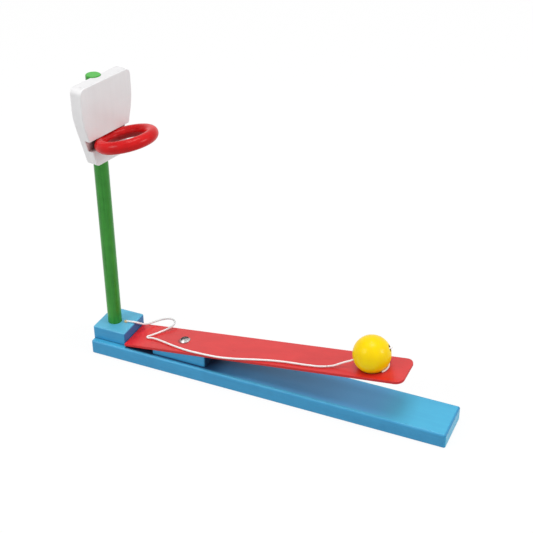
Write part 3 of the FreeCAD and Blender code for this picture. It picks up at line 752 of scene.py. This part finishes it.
def turned_wood(name, deep, full, axis, middle, bores=None, hollow=None):
    """Gloss paint on wood that was turned round an axis, and bored to a radius each way."""
    finish = Finish(name)
    place = finish.place()
    offset = finish.vector("SUBTRACT", place, middle)
    height = finish.along(place, axis) - middle.dot(axis)
    radial = finish.off_axis(offset, axis)
    rings = finish.rings(height, 0.7 * MM)
    cloud = finish.noise(finish.stretch(place, (11 * MM,) * 3), detail=2.0)
    pores = finish.noise(finish.stretch(place, (0.7 * MM,) * 3), detail=2.0)
    tone = finish.step(cloud * 0.8 + rings * 0.35, 0.3, 0.85)
    colour = finish.mix(tone, deep, full)
    relief = finish.bump(rings, 0.02 * MM)
    relief = finish.bump(pores, 0.01 * MM, over=relief)
    # Painted shade inside the lower half of a ring, such as the hoop.
    if hollow is not None:
        inside_shade = (finish.step(radial, hollow, hollow - 3 * MM)
                 * finish.step(height, 2 * MM, -1.5 * MM))
        shaded = [share * 0.6 for share in deep[:3]] + [1.0]
        colour = finish.mix(inside_shade, colour, shaded)
    # The bores are bare wood, painted darker still as the shade inside them.
    if bores is not None:
        low, high = bores
        reach = finish.step(height, -0.1 * MM, 0.1 * MM) * (high - low) + low
        colour = finish.mix(finish.step(reach - radial, 0, 0.1 * MM), colour, seen(128, 84, 24))
    return finish.end(base_color=colour, roughness=cloud * 0.12 + 0.24, normal=relief,
                      specular_ior_level=0.1, coat_weight=0.12, coat_roughness=0.12)


# %% Hoop and ball
HOOP_TIP = math.radians(14.5)
HOOP_HOLLOW = 19 * MM
CORD_BORE = 1.4 * MM
KNOT_BORE = 2.85 * MM
hoop_axis = (Vector((0, 0, 1)) * math.cos(HOOP_TIP) - BOARD_AHEAD * math.sin(HOOP_TIP)).normalized()
hoop_middle = BOARD_FOOT + BOARD_AHEAD * 28.9 * MM + Vector((0, 0, 21.5 * MM))
hoop_paint = turned_wood("red_gloss_paint", seen(194, 17, 20), seen(216, 25, 27),
                         hoop_axis, hoop_middle, hollow=HOOP_HOLLOW)
ball_low, ball_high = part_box("ball")
ball_middle = (ball_low + ball_high) / 2
ball_paint = turned_wood("yellow_gloss_paint", seen(248, 207, 1), seen(254, 222, 2),
                         bore, ball_middle, bores=(CORD_BORE, KNOT_BORE))
print("ball's middle, mm:", [round(value / MM, 2) for value in ball_middle])

# %% [markdown]
# ## Red plywood
#
# The strip's faces show long grain through the paint, and its edges show the plies: thin
# layers whose grain crosses, which soak up paint differently. The plies follow the
# height above the strip's underside.
#
# The red carries painted light and shade: painted light at the heel, painted shade along
# the front edge beside the cord, and painted shadows round the ball's seat and round the
# washer. The last two are distances from the axes of the ball and of the screw.

# %% Red strip
PLY = 0.8 * MM

red = Finish("red_paint")
place = red.place()
run = red.along(place, along_strip)
across = red.along(place, (0, 1, 0))
lift = red.along(place, upward) - hinge.dot(upward)
flat = red.add("ShaderNodeCombineXYZ", {}, {"X": run, "Y": across, "Z": lift})
fibre = red.noise(red.stretch(flat, (30 * MM, 0.9 * MM, 0.9 * MM)), detail=4.0, rough=0.6)
cloud = red.noise(red.stretch(flat, (18 * MM, 9 * MM, 9 * MM)), detail=2.0)
peel = red.noise(red.stretch(flat, (0.9 * MM,) * 3), detail=1.0)
tone = red.step(fibre * 0.25 + cloud * 0.75, 0.3, 0.85)

past_hinge = run - hinge.dot(along_strip)
# Painted shade along the front edge beside the cord.
front_edge_shade = red.step(across, -10 * MM, -14 * MM) * red.step(past_hinge, -20 * MM, 60 * MM)
# Painted shadow of the ball round its seat, darkest at its foot.
off_ball = red.off_axis(red.vector("SUBTRACT", place, ball_middle), upward)
# Painted shadow of the washer on the strip round it.
washer_middle = on_strip(SCREW_HOLE[0] - 0.5 * MM, -0.6 * MM, 0)
off_washer = red.off_axis(red.vector("SUBTRACT", place, washer_middle), upward)
faces_up = red.along(red.add("ShaderNodeTexCoord", out="Normal"), upward)
on_edge = red.step(faces_up * faces_up, 0.5, 0.2)
plies = (lift * (math.tau / PLY)).of("SINE")
# Over the plywood's tone lie painted light at the heel, painted shade along the front edge, painted
# shadows round the ball's foot and the washer, and the plies on the edges.
colour = marked(red, red.mix(tone, seen(208, 42, 43), seen(219, 50, 50)), [
    (red.step(past_hinge, -40 * MM, -72 * MM), seen(234, 40, 42)),
    (front_edge_shade * 0.7, seen(212, 26, 28)),
    (red.step(off_ball, 15 * MM, 10.5 * MM) * 0.7, seen(176, 16, 20)),
    (red.step(off_ball, 11.6 * MM, 10.3 * MM) * 0.8, seen(92, 8, 12)),
    (red.step(off_washer, 5.6 * MM, 4.9 * MM) * 0.6, seen(128, 20, 24)),
    (on_edge * red.step(plies + fibre, 0.6, 1.4) * 0.5, seen(150, 24, 28)),
])
relief = red.bump(fibre, 0.02 * MM)
relief = red.bump(peel, 0.02 * MM, over=relief)
relief = red.bump(plies * on_edge, 0.04 * MM, over=relief)
rough = cloud * 0.12 + fibre * 0.04 + on_edge * 0.3 + 0.22
red_paint = red.end(base_color=colour, roughness=rough, normal=relief)
print("plies of", PLY / MM, "mm in a strip of", STRIP_THICK / MM, "mm")

# %% [markdown]
# ## Plated steel
#
# The cup washer and the screw are pressed and plated, so their colour comes from what
# they reflect. Fine rings round the screw spread the reflections. The dip between the
# washer's lip and the screw's head is painted dark, as painted shade and a painted dark
# reflection, most of all at the back left, and so is the screw's recess.

# %% Steel
steel = Finish("plated_steel")
place = steel.place()
washer_low, washer_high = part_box("cup_washer")
offset = steel.vector("SUBTRACT", place, (washer_low + washer_high) / 2)
height = steel.along(offset, upward)
radial = steel.off_axis(offset, upward)
turning = steel.rings(steel.vector("LENGTH", offset), 0.12 * MM)
smear = steel.noise(steel.stretch(place, (1.5 * MM,) * 3), detail=2.0)
# Painted shade and dark reflection in the dip between washer and head, strongest at the back left,
# and in the screw's recess.
dip = steel.step(radial, 1.3 * MM, 1.5 * MM) * steel.step(radial, 3.65 * MM, 3.4 * MM)
recess = steel.step(radial, 1.8 * MM, 1.6 * MM) * steel.step(height, 0.95 * MM, 0.6 * MM)
back_left = steel.step(steel.along(offset, (-0.66, 0.75, 0)), -1.3 * MM, -0.1 * MM)
dip_shade = (dip * (back_left * 0.8 + 0.2)).of("MAXIMUM", recess) * 0.95
shiny = steel.mix(smear, seen(214, 211, 209), seen(170, 165, 163))
steel_paint = steel.end(base_color=steel.mix(dip_shade, shiny, seen(22, 20, 22)), metallic=1.0,
                        roughness=smear * 0.2 + 0.16, normal=steel.bump(turning, 0.01 * MM))
print("steel:", steel_paint.name)

# %% [markdown]
# ## Bare wood and braided elastic
#
# The peg is bare wood with dark fibres along it. The elastic is a rubber core in a braid
# of white yarn: two sets of strands wind round it, one to each side. The angle round the
# cord and the distance along it, which each tube's vertices remember, place the strands.
# The loose loop behind the strip is painted a little greyer than the rest, as painted shade.

# %% Peg and cord
STRANDS = 8
BRAID_PITCH = 3.4

wood = Finish("bare_wood")
fibre = wood.noise(wood.stretch(wood.place(), (0.35 * MM, 0.35 * MM, 4 * MM)), detail=3.0)
grain = wood.mix(wood.step(fibre, 0.35, 0.7), seen(206, 172, 118), seen(236, 208, 158))
bare_wood = wood.end(base_color=grain, roughness=0.6, normal=wood.bump(fibre, 0.08 * MM))

elastic = Finish("white_elastic")
place = elastic.place()
braid = elastic.add("ShaderNodeAttribute", {"attribute_name": "braid"}, out="Vector")
beside, above, distance = (elastic.along(braid, axis) for axis in ((1, 0, 0), (0, 1, 0), (0, 0, 1)))
around = above.of("ARCTAN2", beside)
left = (around * STRANDS + distance * BRAID_PITCH).of("SINE")
right = (around * STRANDS - distance * BRAID_PITCH).of("SINE")
strand = left.of("MAXIMUM", right)
yarn = elastic.noise(elastic.stretch(place, (0.6 * MM,) * 3), detail=2.0)
# Painted shade on the loose loop behind the strip.
loop_shade = (elastic.step(elastic.along(place, (0, 1, 0)), 6 * MM, 12 * MM)
           * elastic.step(elastic.along(place, (1, 0, 0)), -80 * MM, -90 * MM))
colour = elastic.mix(elastic.step(strand + yarn * 0.5, -0.6, 0.9),
                     seen(238, 232, 231), seen(255, 252, 251))
colour = elastic.mix(loop_shade * 0.6, colour, seen(196, 200, 200))
white_elastic = elastic.end(base_color=colour, roughness=0.7,
                            normal=elastic.bump(strand, 0.03 * MM), sheen_weight=0.2)
print("peg and cord:", bare_wood.name, white_elastic.name)

# %% [markdown]
# ## Each piece gets its finish
#
# A CAD node keeps its shape and takes the new material in its own slots. The pieces made
# here have no slots yet, so they get their material as their first one.

# %% Finishes on the pieces
FINISH_OF = {
    "base_board": blue_paint, "post_block": blue_paint, "wedge_block": blue_paint,
    "post": green_paint, "backboard": white_paint, "hoop_ring": hoop_paint,
    "ball": ball_paint, "cup_washer": steel_paint, "strip_screw": steel_paint,
    "cord_peg": bare_wood,
}
for name, material in FINISH_OF.items():
    for slot in frame["nodes"][name].material_slots:
        slot.material = material
strip.data.materials.append(red_paint)
for piece in (main_cord, lead_cord, tail_cord, ball_knot):
    piece.data.materials.append(white_elastic)
print("finished:", ", ".join(FINISH_OF))

# %% [markdown]
# ## The floor and the light
#
# The photo was taken on white, under three large soft lamps: one overhead, one in front
# on the left and one on the right. Their reflections are the three soft spots on the
# ball. The world adds an even light from all round, and the white floor throws some
# back up. The floor looks white to the camera but still takes a share of the shadow.

# %% Floor and world
FLOOR_HALF = 6.0
FLOOR_LEVEL = -0.05 * MM
FLOOR_GREY = 0.55
FLOOR_GLOW = 1.1
FLOOR_WHITE = 0.82
WORLD_LEVEL = 0.5


def direct_ray(finish):
    """1 for a ray from the camera, a mirror or glass, and 0 for a ray that lights things."""
    camera_ray, glossy, through = (finish.add("ShaderNodeLightPath", out=f"Is {kind} Ray")
                                   for kind in ("Camera", "Glossy", "Transmission"))
    return camera_ray.of("MAXIMUM", glossy).of("MAXIMUM", through)


def make_floor():
    """A wide square just under the base, white to look at but still grey to the light."""
    mesh = bpy.data.meshes.new("floor")
    corners = [(-1, -1), (1, -1), (1, 1), (-1, 1)]
    mesh.from_pydata([(x * FLOOR_HALF, y * FLOOR_HALF, FLOOR_LEVEL) for x, y in corners],
                     [], [(0, 1, 2, 3)])
    floor = link_mesh("floor", mesh)
    finish = Finish("white_floor")
    grey = (FLOOR_GREY, FLOOR_GREY, FLOOR_GREY, 1)
    matt = finish.add("ShaderNodeBsdfDiffuse", {}, {"Color": grey})
    bright = finish.add("ShaderNodeEmission", {}, {"Color": (1, 1, 1, 1), "Strength": FLOOR_GLOW})
    share = direct_ray(finish) * FLOOR_WHITE
    both = finish.add("ShaderNodeMixShader", {}, {0: share, 1: matt, 2: bright})
    finish.add("ShaderNodeOutputMaterial", {}, {"Surface": both})
    mesh.materials.append(finish.holder)


def make_world():
    """An even light from all round, which is plain white wherever it is seen."""
    sky = Finish("studio", among=bpy.data.worlds)
    strength = sky.add("ShaderNodeMapRange", {}, {"Value": direct_ray(sky),
                                                  "To Min": WORLD_LEVEL, "To Max": 1.0})
    light = sky.add("ShaderNodeBackground", {}, {"Color": (1, 1, 1, 1), "Strength": strength})
    sky.add("ShaderNodeOutputWorld", {}, {"Surface": light})
    bpy.context.scene.world = sky.holder


make_floor()
make_world()
print("floor at", FLOOR_LEVEL / MM, "mm, world at", WORLD_LEVEL)

# %% Lamps
LAMPS = [
    # name, direction from the toy, distance and size in metres, power in watts
    ("overhead", (0, 0.03, 1), 3.0, 1.7, 35.0),
    ("front_left", (-0.51, -0.62, 0.59), 1.6, 0.7, 6.4),
    ("right", (0.88, 0.09, 0.47), 3.0, 1.1, 24.0),
]


def add_lamp(name, toward, distance, size, power):
    lamp = bpy.data.lights.new(name, "AREA")
    lamp.shape = "DISK"
    lamp.size = size
    lamp.energy = power
    holder = bpy.data.objects.new(name, lamp)
    bpy.context.scene.collection.objects.link(holder)
    direction = Vector(toward).normalized()
    holder.location = direction * distance
    holder.rotation_mode = "QUATERNION"
    holder.rotation_quaternion = direction.to_track_quat("Z", "Y")


for lamp in LAMPS:
    add_lamp(*lamp)
bpy.context.scene.view_settings.view_transform = "Standard"
print("lamps:", [lamp[0] for lamp in LAMPS])
